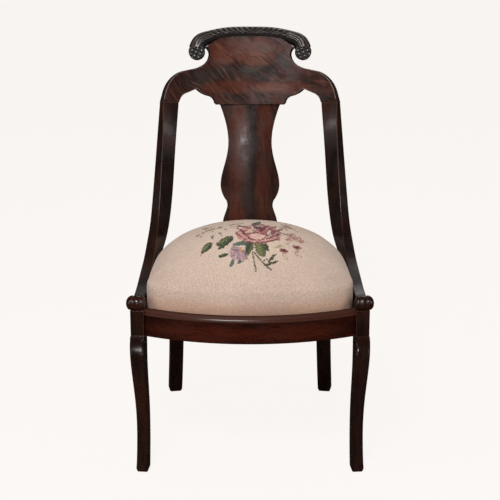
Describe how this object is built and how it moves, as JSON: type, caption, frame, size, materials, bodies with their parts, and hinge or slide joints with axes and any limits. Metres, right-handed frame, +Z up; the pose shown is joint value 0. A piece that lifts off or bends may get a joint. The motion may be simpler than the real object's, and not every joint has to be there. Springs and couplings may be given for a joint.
{
  "type": "side chair",
  "caption": "Gondola-back wooden side chair: sweeping curved stiles, shaped crest under a carved roll, vase splat, bowed front rail and a domed drop-in needlepoint seat.",
  "frame": {"origin": "on the floor, at the middle of the overall width and depth", "axes": "+X to the chair's own left-right line (right of a viewer in front), +Y from front to back, +Z up; the chair faces -Y"},
  "size_m": [0.4928, 0.5244, 0.8496],
  "materials": {
    "show_wood": "french polished dark mahogany",
    "flame_veneer": "polished flame mahogany veneer",
    "carved_wood": "dark polished carving",
    "frame_wood": "unpolished secondary wood",
    "dowel_wood": "plain birch",
    "iron": "aged iron screws and tacks",
    "webbing": "jute webbing",
    "hessian": "coarse jute cloth",
    "hair": "curled hair stuffing",
    "calico": "plain cotton",
    "needlepoint": "wool needlepoint on canvas",
    "dust_cloth": "black cotton"
  },
  "bodies": {
    "frame": {"left_front_leg": "show_wood", "right_front_leg": "show_wood", "left_rear_leg": "show_wood", "right_rear_leg": "show_wood", "left_stile": "show_wood", "right_stile": "show_wood", "left_scroll": "show_wood", "right_scroll": "show_wood", "crest_rail": "show_wood", "crest_veneer": "flame_veneer", "crest_roll": "carved_wood", "splat": "show_wood", "splat_veneer": "flame_veneer", "front_rail": "show_wood", "front_rail_veneer": "flame_veneer", "left_side_rail": "show_wood", "right_side_rail": "show_wood", "rear_rail": "show_wood", "left_front_corner_block": "frame_wood", "right_front_corner_block": "frame_wood", "left_rear_corner_block": "frame_wood", "right_rear_corner_block": "frame_wood", "corner_block_screws": "iron", "front_rail_dowels": "dowel_wood", "side_rail_dowels": "dowel_wood", "rear_rail_dowels": "dowel_wood", "crest_dowels": "dowel_wood", "stile_foot_dowels": "dowel_wood", "scroll_dowels": "dowel_wood", "crest_roll_dowels": "dowel_wood"},
    "seat": {"front_slip_member": "frame_wood", "rear_slip_member": "frame_wood", "left_slip_member": "frame_wood", "right_slip_member": "frame_wood", "slip_frame_dowels": "dowel_wood", "lengthwise_webbing": "webbing", "crosswise_webbing": "webbing", "webbing_tacks": "iron", "hessian": "hessian", "stuffing": "hair", "calico_undercover": "calico", "needlepoint_cover": "needlepoint", "cover_tacks": "iron", "dust_cover": "dust_cloth"}
  },
  "joints": [
    {"name": "seat_lift", "type": "slide", "parent": "frame", "child": "seat", "axis": [0, 0, 1], "range_m": [0, 0.53]}
  ]
}
